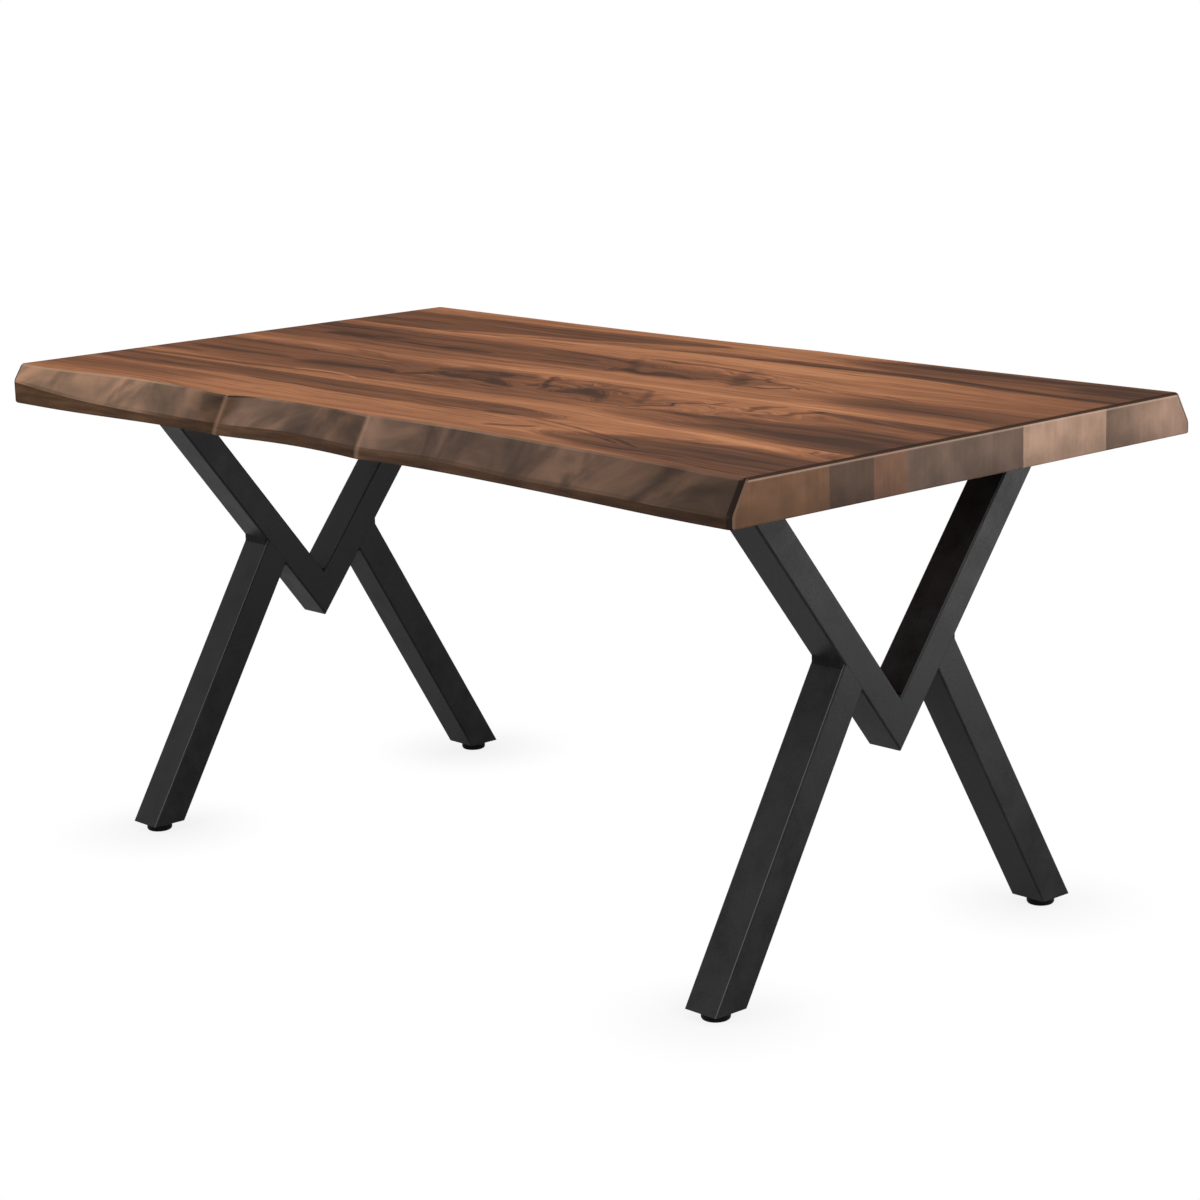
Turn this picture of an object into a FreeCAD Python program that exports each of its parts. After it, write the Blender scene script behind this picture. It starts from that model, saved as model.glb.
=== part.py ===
"""Walnut slab dining table on two welded steel leg frames, with screw-in levelling feet.

Millimetres. X runs along the table, Y across it (the front is -Y) and Z up from the floor.
The origin is on the floor under the middle of the top.
"""
import FreeCAD, Part
import math
import os

# Whole table
table_length = 1600.0
table_width = 900.0
table_height = 750.0
top_thickness = 60.0

# Boards of the top, glued edge to edge, and the way their edges are worked
board_count = 4
end_ease = 3.0
corner_radius = 8.0
arris_ease = 2.5

# Carved long edges: how far the deepest cut lies behind the outermost edge
carve_reach = 52.0
# Each station: place along the edge, lean over the height, set-back at the top and at the underside
# as shares of the reach, and the depth of the sloping face as a share of the thickness
left_scallop_shares = (
    (0.000, 0.0, 0.40, 0.10, 0.41),
    (0.056, 0.0, 0.39, 0.10, 0.52),
    (0.150, 0.0, 0.73, 0.25, 0.67),
    (0.220, 0.1, 0.81, 0.40, 0.73),
    (0.280, 0.2, 0.65, 0.42, 0.75),
    (0.331, 0.4, 0.52, 0.37, 0.73),
)
middle_scallop_shares = (
    (0.331, 0.4, 0.52, 0.37, 0.73),
    (0.375, 0.3, 0.90, 0.55, 0.73),
    (0.430, 0.3, 0.93, 0.68, 0.72),
    (0.483, 0.2, 0.91, 0.62, 0.74),
    (0.531, 0.2, 0.80, 0.46, 0.73),
)
right_scallop_shares = (
    (0.531, 0.2, 0.80, 0.46, 0.73),
    (0.580, 0.1, 0.96, 0.62, 0.74),
    (0.625, 0.0, 1.00, 0.63, 0.72),
    (0.720, 0.0, 0.92, 0.52, 0.77),
    (0.810, 0.0, 0.77, 0.34, 0.75),
    (0.875, 0.0, 0.71, 0.18, 0.73),
    (0.940, 0.0, 0.56, 0.05, 0.73),
    (1.000, 0.0, 0.48, 0.00, 0.72),
)
# The back edge is carved more gently; its stations run the other way, from the right end to the left
back_right_scallop_shares = (
    (0.000, 0.0, 0.48, 0.00, 0.72),
    (0.110, 0.0, 0.54, 0.10, 0.70),
    (0.240, 0.0, 0.60, 0.22, 0.72),
    (0.350, 0.1, 0.57, 0.26, 0.74),
    (0.420, 0.2, 0.50, 0.22, 0.73),
)
back_left_scallop_shares = (
    (0.420, 0.2, 0.50, 0.22, 0.73),
    (0.500, 0.1, 0.60, 0.34, 0.73),
    (0.620, 0.0, 0.66, 0.38, 0.72),
    (0.780, 0.0, 0.60, 0.28, 0.70),
    (0.900, 0.0, 0.50, 0.14, 0.66),
    (1.000, 0.0, 0.42, 0.06, 0.60),
)
corner_steps = 3

# Leg frames: rectangular tube in a V, with a lower leg branching off each arm
frame_setback = 135.0
tube_depth = 60.0
arm_width = 45.0
leg_width = 50.0
tube_wall = 2.0
tube_corner = 3.0
v_height = 300.0
arm_half_spread = 297.6
notch_height = 441.0
foot_half_spread = 359.0
leg_clearance = 14.0

# Weld beads: the depth of the filled outer notch, the leg length of the hollow inner corners, and how far
# the flush seams fill the groove beside the arm's rounded corner, as a share of that corner's radius
notch_bead = 4.0
crotch_bead_leg = 8.0
knee_bead_leg = 6.0
seam_fill_share = 0.75

# Mounting plate on each frame and the screws that hold it to the boards
plate_thickness = 5.0
plate_width = 100.0
plate_overhang = 52.0
plate_corner = 12.0
plate_hole = 9.0
screw_margin = 25.0
near_screw_row = 120.0
screw_stagger = 26.0
screw_diameter = 8.0
screw_length = 45.0
screw_head_flats = 13.0
screw_head_height = 5.3

# Threaded inserts that close the legs, and the levelling feet that screw into them
leg_insert_height = 14.0
stem_diameter = 10.0
stem_engagement = 29.0
pad_diameter = 40.0
pad_floor = 4.0

# Clearances and the overrun of cutting shapes
turning_clearance = 0.1
seat_clearance = 0.3
overrun = 10.0

# Worked-out places
half_length = table_length / 2
half_width = table_width / 2
underside = table_height - top_thickness
plate_bottom = underside - plate_thickness
frame_middle = half_length - frame_setback - tube_depth / 2
plate_half_length = arm_half_spread + plate_overhang
far_screw_row = plate_half_length - screw_margin
arm_angle = math.atan2(arm_half_spread, plate_bottom - v_height)
notch_half_gap = (notch_height - v_height) * math.tan(arm_angle)
leg_angle = math.atan2(foot_half_spread - notch_half_gap, notch_height - leg_clearance)
foot_middle = foot_half_spread - leg_width / math.cos(leg_angle) / 2
x_axis = FreeCAD.Vector(1, 0, 0)
y_axis = FreeCAD.Vector(0, 1, 0)
z_axis = FreeCAD.Vector(0, 0, 1)
origin = FreeCAD.Vector(0, 0, 0)


def save(name, shape):
    shape.exportStep("parts/" + name + ".step")


def closed_wire(points):
    return Part.makePolygon(points + points[:1])


def moved(shape, x):
    """A copy of the shape set out along the table."""
    copy = shape.copy()
    copy.translate(x_axis * x)
    return copy


def to_back(shape):
    """The same piece mirrored to the back of the frame."""
    return shape.mirror(origin, y_axis)


def upright(x, y, z, diameter, height):
    return Part.makeCylinder(diameter / 2, height, FreeCAD.Vector(x, y, z), z_axis)


def hexagon(x, y, z, flats, height):
    radius = flats / math.sqrt(3)
    angles = [math.pi / 3 * k for k in range(6)]
    points = [FreeCAD.Vector(x + radius * math.cos(a), y + radius * math.sin(a), z) for a in angles]
    return Part.Face(closed_wire(points)).extrude(z_axis * height)


# Top boards


def board_stock(low_y, high_y):
    """A planed board whose end edges are eased round."""
    blank = Part.makeBox(table_length, high_y - low_y, top_thickness,
                         FreeCAD.Vector(-half_length, low_y, underside))
    ends = [e for e in blank.Edges if e.BoundBox.YLength > max(e.BoundBox.XLength, e.BoundBox.ZLength)]
    return blank.makeFillet(end_ease, ends)


def waste_outline(x, lean, top_inset, low_inset, drop, shift=0):
    """Outline of the wood that the carver takes off the front edge at one place along it.

    Insets are counted inward from the outermost edge, and shift moves the whole cut inward.
    """
    top = FreeCAD.Vector(0, top_inset + shift, table_height)
    knee = FreeCAD.Vector(0, low_inset + shift, table_height - drop)
    low = FreeCAD.Vector(0, low_inset + shift, underside)
    slope = (knee - top).normalize()
    fall = (low - knee).normalize()
    top_on_slope = top + slope * arris_ease
    top_on_face = top + y_axis * arris_ease
    above = top_on_face + (top_on_face - top_on_slope).normalize() * overrun
    knee_upper = knee - slope * arris_ease
    knee_lower = knee + fall * arris_ease
    low_on_fall = low - fall * arris_ease
    low_on_face = low + y_axis * arris_ease
    below = low_on_face + (low_on_face - low_on_fall).normalize() * overrun
    outside_low = FreeCAD.Vector(0, -overrun, below.z)
    outside_high = FreeCAD.Vector(0, -overrun, above.z)
    outline = [above, top_on_slope, knee_upper, knee_lower, low_on_fall, below, outside_low, outside_high]
    middle = (table_height + underside) / 2
    return closed_wire([FreeCAD.Vector(x + lean * (p.z - middle), p.y - half_width, p.z) for p in outline])


def station_outline(shares, step_x=0, shift=0):
    along, lean, top_share, low_share, drop_share = shares
    run = table_length - 2 * corner_radius
    x = corner_radius - half_length + along * run + step_x
    return waste_outline(x, lean, top_share * carve_reach, low_share * carve_reach,
                         drop_share * top_thickness, shift)


def scallop(stations):
    return Part.makeLoft([station_outline(s) for s in stations], True, False)


def rounded_corner(shares, way):
    """Waste off the corner where the carved edge meets an end of the top; way is -1 or 1 along X."""
    outlines = []
    for step in range(corner_steps + 1):
        angle = math.pi / 2 * step / corner_steps
        out = corner_radius * math.sin(angle)
        back = corner_radius * (1 - math.cos(angle))
        outlines.append(station_outline(shares, way * out, back))
    outlines.append(station_outline(shares, way * (corner_radius + overrun), corner_radius))
    return Part.makeLoft(outlines, True, True)


def carved_waste(*scallops):
    """Everything that is cut off the front edge: its long scallops, in order, and the two corners."""
    first_station = scallops[0][0]
    last_station = scallops[-1][-1]
    corners = [rounded_corner(first_station, -1), rounded_corner(last_station, 1)]
    return [scallop(stations) for stations in scallops] + corners


def screw_places():
    """Screw places on one frame's plate, as offsets from the frame's middle."""
    far = [(screw_stagger, y) for y in (-far_screw_row, far_screw_row)]
    near = [(-screw_stagger, y) for y in (-near_screw_row, near_screw_row)]
    return far + near


def drilled(board):
    """The board with a pilot hole from below for each screw."""
    depth = screw_length - plate_thickness
    for middle in (-frame_middle, frame_middle):
        for x, y in screw_places():
            board = board.cut(upright(middle + x, y, underside - overrun, screw_diameter, depth + overrun))
    return board


def make_top():
    pitch = table_width / board_count
    waste = carved_waste(left_scallop_shares, middle_scallop_shares, right_scallop_shares)
    back_waste = carved_waste(back_right_scallop_shares, back_left_scallop_shares)
    for w in back_waste:
        w.rotate(origin, z_axis, 180)
    for number in range(board_count):
        low_y = number * pitch - half_width
        board = board_stock(low_y, low_y + pitch)
        if number == 0:
            board = board.cut(waste)
        if number == board_count - 1:
            board = board.cut(back_waste)
        save("top_board_%d" % (number + 1), drilled(board))


# Leg frames, made at the middle of the table and then set out to each end


def bar(width, length):
    """A solid bar along Z with rounded long edges, its outer face on y = 0."""
    block = Part.makeBox(tube_depth, width, length, FreeCAD.Vector(-tube_depth / 2, 0, 0))
    along = [e for e in block.Edges if e.BoundBox.ZLength > length / 2]
    return block.makeFillet(tube_corner, along)


def bore_of_bar(width, length):
    """The hollow inside that bar."""
    depth = tube_depth - 2 * tube_wall
    return Part.makeBox(depth, width - 2 * tube_wall, length, FreeCAD.Vector(-depth / 2, tube_wall, 0))


def side_prism(points, depth):
    """A prism across the frame's depth from points given as (y, z)."""
    face = Part.Face(closed_wire([FreeCAD.Vector(-depth / 2, y, z) for y, z in points]))
    return face.extrude(x_axis * depth)


def arm_space():
    """Where the front arm may be: in front of the mitre and under the plate."""
    reach = table_height
    return side_prism([(0, 0), (0, plate_bottom), (-reach, plate_bottom), (-reach, 0)], table_height)


def leg_space():
    """Where the front leg may be: outside the arm's outer face and above the floor gap."""
    reach = table_height
    low = (reach * math.tan(arm_angle), v_height - reach)
    high = (-reach * math.tan(arm_angle), v_height + reach)
    below = side_prism([low, high, (-2 * reach, high[1]), (-2 * reach, low[1])], table_height)
    low_corner = FreeCAD.Vector(-2 * reach, -2 * reach, leg_clearance - reach)
    floor = Part.makeBox(4 * reach, 4 * reach, reach, low_corner)
    return below.cut(floor)


def set_arm(shape):
    """Lean a bar so that its outer face runs up from the point of the V."""
    low = v_height - table_height * math.cos(arm_angle)
    start = FreeCAD.Vector(0, table_height * math.sin(arm_angle), low)
    shape.Placement = FreeCAD.Placement(start, FreeCAD.Rotation(x_axis, math.degrees(arm_angle)))
    return shape.common(arm_space())


def set_leg(shape):
    """Lean a bar so that its outer face runs from the foot up to the notch."""
    low = leg_clearance - table_height * math.cos(leg_angle)
    start = FreeCAD.Vector(0, -foot_half_spread - table_height * math.sin(leg_angle), low)
    shape.Placement = FreeCAD.Placement(start, FreeCAD.Rotation(x_axis, -math.degrees(leg_angle)))
    return shape.common(leg_space())


def tube(width, place):
    """A hollow tube, leaned and mitred by place."""
    length = 3 * table_height
    return place(bar(width, length)).cut(place(bore_of_bar(width, length)))


def notch_bead_solid():
    """The bead that fills the outer notch, with an upright face."""
    corner = (-notch_half_gap, notch_height)
    face_y = -notch_half_gap - notch_bead
    upper = (face_y, notch_height + notch_bead / math.tan(arm_angle))
    lower = (face_y, notch_height - notch_bead / math.tan(leg_angle))
    return side_prism([corner, upper, lower], tube_depth - 2 * tube_corner)


def hollow_bead(corner, first, second, leg):
    """A bead in a corner, hollowed to a radius that runs into the two faces along first and second."""
    first = FreeCAD.Vector(0, first[0], first[1]).normalize()
    second = FreeCAD.Vector(0, second[0], second[1]).normalize()
    depth = tube_depth - 2 * tube_corner
    half = first.getAngle(second) / 2
    radius = leg * math.tan(half)
    root = FreeCAD.Vector(-depth / 2, corner[0], corner[1])
    bisector = (first + second).normalize()
    nearest = root + bisector * (leg / math.cos(half) - radius)
    one = root + first * leg
    two = root + second * leg
    edges = [Part.makeLine(root, one), Part.Arc(one, nearest, two).toShape(), Part.makeLine(two, root)]
    return Part.Face(Part.Wire(edges)).extrude(x_axis * depth)


def crotch_bead():
    """The bead inside the V."""
    inner = v_height + arm_width / math.sin(arm_angle)
    front = (-math.sin(arm_angle), math.cos(arm_angle))
    back = (math.sin(arm_angle), math.cos(arm_angle))
    return hollow_bead((0, inner), front, back, crotch_bead_leg)


def knee():
    """Where the front leg's inner face meets the arm's outer face, as (y, z)."""
    foot_inner = foot_half_spread - leg_width / math.cos(leg_angle)
    rise = foot_inner + leg_clearance * math.tan(leg_angle) + v_height * math.tan(arm_angle)
    z = rise / (math.tan(arm_angle) + math.tan(leg_angle))
    return (v_height - z) * math.tan(arm_angle), z


def knee_bead():
    """The bead where the front leg's inner face meets the arm from below."""
    arm_down = (math.sin(arm_angle), -math.cos(arm_angle))
    leg_down = (-math.sin(leg_angle), -math.cos(leg_angle))
    return hollow_bead(knee(), arm_down, leg_down, knee_bead_leg)


def flush_seam():
    """Weld metal, ground flush, between the front leg's end and the arm's rounded corner on the +X face."""
    inward = FreeCAD.Vector(0, math.cos(arm_angle), math.sin(arm_angle))
    upward = FreeCAD.Vector(0, -math.sin(arm_angle), math.cos(arm_angle))
    low = FreeCAD.Vector(tube_depth / 2, *knee())
    high = FreeCAD.Vector(tube_depth / 2, -notch_half_gap, notch_height)
    start = low + upward * tube_corner
    reach = seam_fill_share * tube_corner

    def at(into_arm, below_face):
        return start + inward * into_arm - x_axis * below_face

    def on_round(other):
        return tube_corner - math.sqrt(tube_corner ** 2 - (tube_corner - other) ** 2)

    middle_of_round = tube_corner * (1 - math.sqrt(0.5))
    far = at(reach, on_round(reach))
    deep = at(on_round(tube_wall), tube_wall)
    edges = [
        Part.makePolygon([deep, at(0, tube_wall), at(0, 0), at(reach, 0), far]),
        Part.Arc(far, at(middle_of_round, middle_of_round), deep).toShape(),
    ]
    length = (high - low).Length - 2 * tube_corner
    return Part.Face(Part.Wire(edges)).extrude(upward * length)


def mounting_plate():
    low = FreeCAD.Vector(-plate_width / 2, -plate_half_length, plate_bottom)
    plate = Part.makeBox(plate_width, 2 * plate_half_length, plate_thickness, low)
    corners = [e for e in plate.Edges if e.BoundBox.ZLength > plate_thickness / 2]
    plate = plate.makeFillet(plate_corner, corners)
    height = plate_thickness + 2 * overrun
    return plate.cut([upright(x, y, plate_bottom - overrun, plate_hole, height) for x, y in screw_places()])


def screw(x, y):
    """A hexagon-head wood screw driven up through the plate."""
    head = hexagon(x, y, plate_bottom - screw_head_height, screw_head_flats, screw_head_height)
    return head.fuse(upright(x, y, plate_bottom, screw_diameter, screw_length))


def frame_pieces():
    """One leg frame at the middle of the table: a name and a shape for each piece."""
    arm = tube(arm_width, set_arm)
    leg = tube(leg_width, set_leg)
    places = screw_places()
    notch = notch_bead_solid()
    under_knee = knee_bead()
    seam = flush_seam()
    seams = [seam, seam.mirror(origin, x_axis)]
    return {
        "arm_front": arm,
        "arm_back": to_back(arm),
        "leg_front": leg,
        "leg_back": to_back(leg),
        "weld_notches": Part.makeCompound([notch, to_back(notch)]),
        "weld_crotch": crotch_bead(),
        "weld_knees": Part.makeCompound([under_knee, to_back(under_knee)]),
        "weld_seams": Part.makeCompound(seams + [to_back(s) for s in seams]),
        "mounting_plate": mounting_plate(),
        "plate_screws": Part.makeCompound([screw(x, y) for x, y in places]),
    }


# Leg ends and levelling feet, made for the front leg


def leg_insert():
    """The insert that closes the leg, flush with its lower end, with a threaded hole for the stem."""
    core = set_leg(bore_of_bar(leg_width, 3 * table_height))
    slab = Part.makeBox(table_height, table_height, leg_insert_height,
                        FreeCAD.Vector(-table_height / 2, -table_height, leg_clearance))
    hole = upright(0, -foot_middle, leg_clearance - overrun, stem_diameter + 2 * turning_clearance,
                   leg_insert_height + 2 * overrun)
    return core.common(slab).cut(hole)


def foot_stem():
    """The stem, whose lower end sits in the pad."""
    low = pad_floor + turning_clearance
    return upright(0, -foot_middle, low, stem_diameter, leg_clearance + stem_engagement - low)


def foot_pad():
    """The moulded pad, a low puck with a blind hole for the stem."""
    top = leg_clearance - seat_clearance
    puck = upright(0, -foot_middle, 0, pad_diameter, top)
    hole = stem_diameter + 2 * turning_clearance
    return puck.cut(upright(0, -foot_middle, pad_floor, hole, top - pad_floor + overrun))


def foot_pieces():
    return {
        "leg_insert": leg_insert(),
        "foot_stem": foot_stem(),
        "foot_pad": foot_pad(),
    }


os.makedirs("parts", exist_ok=True)
make_top()
frame = frame_pieces()
foot = foot_pieces()
for end, middle in (("left", -frame_middle), ("right", frame_middle)):
    for name, shape in frame.items():
        save(end + "_" + name, moved(shape, middle))
    for name, shape in foot.items():
        save(end + "_front_" + name, moved(shape, middle))
        save(end + "_back_" + name, moved(to_back(shape), middle))
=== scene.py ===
# %% [markdown]
# A walnut dining table on welded steel frames
# The table is a slab of four walnut boards with hand-carved long edges, on two black steel leg frames with
# screw-in levelling feet. The construction arrives as a fixed frame of named nodes. Sizes and places come
# from that frame, and the lesson adds what the eye looks for, which is wood figure, paint, moulded plastic,
# light and a camera.

# %% Load the fixed frame
import math
import bmesh
import bpy
from mathutils import Matrix, Vector


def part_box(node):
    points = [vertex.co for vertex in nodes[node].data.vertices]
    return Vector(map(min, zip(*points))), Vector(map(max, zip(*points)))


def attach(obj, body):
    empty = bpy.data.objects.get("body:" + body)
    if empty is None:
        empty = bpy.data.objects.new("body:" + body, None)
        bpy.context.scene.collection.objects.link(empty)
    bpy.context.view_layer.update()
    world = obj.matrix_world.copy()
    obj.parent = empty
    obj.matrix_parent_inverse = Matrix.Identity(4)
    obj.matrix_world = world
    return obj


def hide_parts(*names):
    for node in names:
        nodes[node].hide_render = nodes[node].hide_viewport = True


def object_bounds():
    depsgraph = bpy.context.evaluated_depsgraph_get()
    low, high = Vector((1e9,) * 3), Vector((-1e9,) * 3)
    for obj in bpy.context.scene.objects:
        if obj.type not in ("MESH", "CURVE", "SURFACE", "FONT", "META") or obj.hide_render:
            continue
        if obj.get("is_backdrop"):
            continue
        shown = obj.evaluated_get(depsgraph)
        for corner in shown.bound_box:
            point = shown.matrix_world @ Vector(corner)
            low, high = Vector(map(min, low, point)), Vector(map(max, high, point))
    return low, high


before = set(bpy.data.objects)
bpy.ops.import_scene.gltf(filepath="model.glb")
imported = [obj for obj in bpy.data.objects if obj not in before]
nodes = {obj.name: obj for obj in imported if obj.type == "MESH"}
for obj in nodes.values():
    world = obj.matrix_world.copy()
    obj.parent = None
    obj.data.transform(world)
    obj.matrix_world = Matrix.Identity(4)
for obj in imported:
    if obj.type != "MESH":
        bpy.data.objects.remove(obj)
cad_low, cad_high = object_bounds()
table_length, table_width, table_height = cad_high - cad_low
board_low, board_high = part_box("top_board_2")
top_thickness = board_high.z - board_low.z
print("nodes:", len(nodes), "size:", [round(v, 3) for v in (table_length, table_width, table_height)])

# %% [markdown]
# The camera
# A long lens from the front right corner, a little above the top, gives the calm, nearly parallel lines of
# a catalogue picture. The camera could be aimed with a constraint, but three plain angles and a place are
# easier to read and to change. The small roll levels the long front edge the way the picture shows it.

# %% Set the camera
camera_place = Vector((3.386, -3.009, 1.418))
camera_azimuth = math.radians(47.8)
camera_elevation = math.radians(12.53)
camera_roll = math.radians(-1.58)
camera_lens_mm = 92.9
sensor_width_mm = 36.0

back = Vector((
    math.sin(camera_azimuth) * math.cos(camera_elevation),
    -math.cos(camera_azimuth) * math.cos(camera_elevation),
    math.sin(camera_elevation),
))
right = Vector((0, 0, 1)).cross(back).normalized()
up = back.cross(right)
turned_right = math.cos(camera_roll) * right + math.sin(camera_roll) * up
turned_up = math.cos(camera_roll) * up - math.sin(camera_roll) * right
camera = bpy.data.objects.new("camera", bpy.data.cameras.new("camera"))
camera.data.lens = camera_lens_mm
camera.data.sensor_width = sensor_width_mm
turn = Matrix((turned_right, turned_up, back)).transposed()
camera.matrix_world = Matrix.Translation(camera_place) @ turn.to_4x4()
bpy.context.scene.collection.objects.link(camera)
bpy.context.scene.camera = camera
print("camera at", tuple(round(v, 2) for v in camera_place), "lens", camera_lens_mm)

# %% [markdown]
# Wiring nodes
# A procedural finish is a graph of small nodes. Each node could be added with three lines of its own, but
# then a finish would be hard to follow, so this helper adds a node, sets it and joins it in one line. A
# value that is itself a socket is linked, and any other value is typed in.

# %% A helper that adds and joins nodes
NOISE_MIDDLE = 0.5
# The mix node has sockets of every type under the same names, so its colour sockets are taken by number.
MIX_SHARE = 0
MIX_FIRST = 6
MIX_SECOND = 7
MIX_RESULT = 2


class Wiring:
    """Adds nodes to one node tree and joins their sockets."""

    def __init__(self, tree):
        self.tree = tree

    def put(self, socket, value):
        if isinstance(value, bpy.types.NodeSocket):
            self.tree.links.new(value, socket)
        else:
            socket.default_value = value

    def node(self, kind, inputs=None, **settings):
        made = self.tree.nodes.new(kind)
        for name, value in settings.items():
            setattr(made, name, value)
        for name, value in (inputs or {}).items():
            self.put(made.inputs[name], value)
        return made

    def calc(self, operation, *values):
        made = self.tree.nodes.new("ShaderNodeMath")
        made.operation = operation
        for socket, value in zip(made.inputs, values):
            self.put(socket, value)
        return made.outputs[0]

    def plus(self, first, second):
        return self.calc("ADD", first, second)

    def minus(self, first, second):
        return self.calc("SUBTRACT", first, second)

    def times(self, first, second):
        return self.calc("MULTIPLY", first, second)

    def over(self, first, second):
        return self.calc("DIVIDE", first, second)

    def times_plus(self, first, second, third):
        """First times second, plus third."""
        return self.calc("MULTIPLY_ADD", first, second, third)

    def larger(self, first, second):
        return self.calc("MAXIMUM", first, second)

    def unsigned(self, value):
        return self.calc("ABSOLUTE", value)

    def swing(self, noise, reach, base):
        """A base value that a noise pushes up and down by a reach."""
        return self.times_plus(self.minus(noise, NOISE_MIDDLE), reach, base)

    def split(self, vector):
        made = self.node("ShaderNodeSeparateXYZ", {"Vector": vector})
        return made.outputs["X"], made.outputs["Y"], made.outputs["Z"]

    def join(self, x=0.0, y=0.0, z=0.0):
        return self.node("ShaderNodeCombineXYZ", {"X": x, "Y": y, "Z": z}).outputs["Vector"]

    def stretch(self, places, rates, depth):
        """A place whose first two directions each have a rate of their own."""
        first, second = [self.times(place, rate) for place, rate in zip(places, rates)]
        return self.join(first, second, depth)

    def noise(self, vector, scale=1.0, detail=2.0, roughness=0.5, distortion=0.0):
        made = self.node("ShaderNodeTexNoise", {
            "Vector": vector,
            "Scale": scale,
            "Detail": detail,
            "Roughness": roughness,
            "Distortion": distortion,
        })
        return made.outputs["Fac"]

    def ease(self, value, low, high, to_low=0.0, to_high=1.0):
        inputs = {"Value": value, "From Min": low, "From Max": high, "To Min": to_low, "To Max": to_high}
        return self.node("ShaderNodeMapRange", inputs, interpolation_type="SMOOTHSTEP").outputs["Result"]

    def blend(self, share, first, second, kind="MIX"):
        made = self.node("ShaderNodeMix", data_type="RGBA", blend_type=kind)
        self.put(made.inputs[MIX_SHARE], share)
        self.put(made.inputs[MIX_FIRST], first)
        self.put(made.inputs[MIX_SECOND], second)
        return made.outputs[MIX_RESULT]

    def ramp(self, value, stops, steps="LINEAR"):
        made = self.node("ShaderNodeValToRGB", {"Fac": value})
        made.color_ramp.interpolation = steps
        elements = made.color_ramp.elements
        while len(elements) < len(stops):
            elements.new(0.5)
        for element, (place, colour) in zip(elements, stops):
            element.position = place
            element.color = (*colour, 1.0)
        return made.outputs["Color"]


print("wiring helper ready")

# %% [markdown]
# Groups and materials
# An effect that several finishes share is a node group with named sockets. It could be copied into every
# material, but one group has one place to change it. A material holds its own shader, and groups only feed
# the shader's sockets.

# %% Helpers for groups and materials
def new_group(name, inputs, outputs):
    """A shader node group with named sockets; returns its wiring, its input node and its output node."""
    group = bpy.data.node_groups.new(name, "ShaderNodeTree")
    for socket, kind, value in inputs:
        made = group.interface.new_socket(socket, in_out="INPUT", socket_type="NodeSocket" + kind)
        if value is not None:
            made.default_value = value
    for socket, kind in outputs:
        group.interface.new_socket(socket, in_out="OUTPUT", socket_type="NodeSocket" + kind)
    wire = Wiring(group)
    return wire, wire.node("NodeGroupInput").outputs, wire.node("NodeGroupOutput").inputs


def new_material(name):
    """A material with an empty Principled shader; returns the material, its wiring and its shader."""
    material = bpy.data.materials.new(name)
    material.use_nodes = True
    wire = Wiring(material.node_tree)
    return material, wire, material.node_tree.nodes["Principled BSDF"]


def place_group(wire, name, inputs):
    """Set a node group in a material; returns its outputs."""
    made = wire.node("ShaderNodeGroup", node_tree=bpy.data.node_groups[name])
    for socket, value in inputs.items():
        wire.put(made.inputs[socket], value)
    return made.outputs


print("helpers for groups and materials ready")

# %% [markdown]
# A dark streak of heartwood
# Walnut shows long dark tongues where the saw cut through older heartwood. Each tongue is a bent, tapering
# ellipse whose edge fades softly. It could be painted, but a formula can be placed anywhere with its own
# values and needs no picture. The mask is highest in the middle, so the growth lines can follow its
# contours.

# %% The streak group
STREAK_INPUTS = [
    ("Position", "Vector", None),
    ("Start", "Float", 0.0),
    ("End", "Float", 1.0),
    ("Across at start", "Float", 0.0),
    ("Across at end", "Float", 0.0),
    ("Bow", "Float", 0.0),
    ("Width at start", "Float", 0.05),
    ("Width at end", "Float", 0.05),
    ("Softness", "Float", 0.5),
]
LEAST_HALF_WIDTH = 0.001
TIP_POWER = 3.0
wire, take, give = new_group("heartwood streak", STREAK_INPUTS, [("Mask", "Float")])
along, across, _ = wire.split(take["Position"])
length = wire.minus(take["End"], take["Start"])
share = wire.over(wire.minus(along, take["Start"]), length)
from_middle = wire.times_plus(share, 2.0, -1.0)
squared = wire.times(from_middle, from_middle)
drift = wire.minus(take["Across at end"], take["Across at start"])
line = wire.times_plus(drift, share, take["Across at start"])
line = wire.times_plus(take["Bow"], wire.minus(1.0, squared), line)
growth = wire.minus(take["Width at end"], take["Width at start"])
half_width = wire.times_plus(growth, share, take["Width at start"])
half_width = wire.larger(half_width, LEAST_HALF_WIDTH)
off = wire.over(wire.minus(across, line), half_width)
tip = wire.calc("POWER", squared, TIP_POWER)
reach = wire.calc("SQRT", wire.plus(wire.times(off, off), tip))
inner = wire.minus(1.0, take["Softness"])
outer = wire.plus(1.0, take["Softness"])
wire.put(give["Mask"], wire.ease(reach, outer, inner))
print("group:", "heartwood streak")

# %% [markdown]
# Grain that follows the figure
# Under the tongues runs the grain itself: wandering growth lines a few millimetres apart, finer fibres,
# broad and thin dark streaks, and short dark pores. A flat stretched noise would look printed, so all but
# the pores are drawn on a level that already carries the tongues. Lines of equal level then crowd and bend
# round each tongue, as growth rings do.

# %% The grain group
GRAIN_INPUTS = [
    ("Position", "Vector", None),
    ("Figure", "Float", 0.0),
    ("Contours", "Float", 12.0),
    ("Line pitch", "Float", 0.010),
    ("Pore length", "Float", 0.05),
]
GRAIN_OUTPUTS = [
    ("Lines", "Float"),
    ("Fibres", "Float"),
    ("Streaks", "Float"),
    ("Pores", "Float"),
    ("Cloud", "Float"),
]
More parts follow.
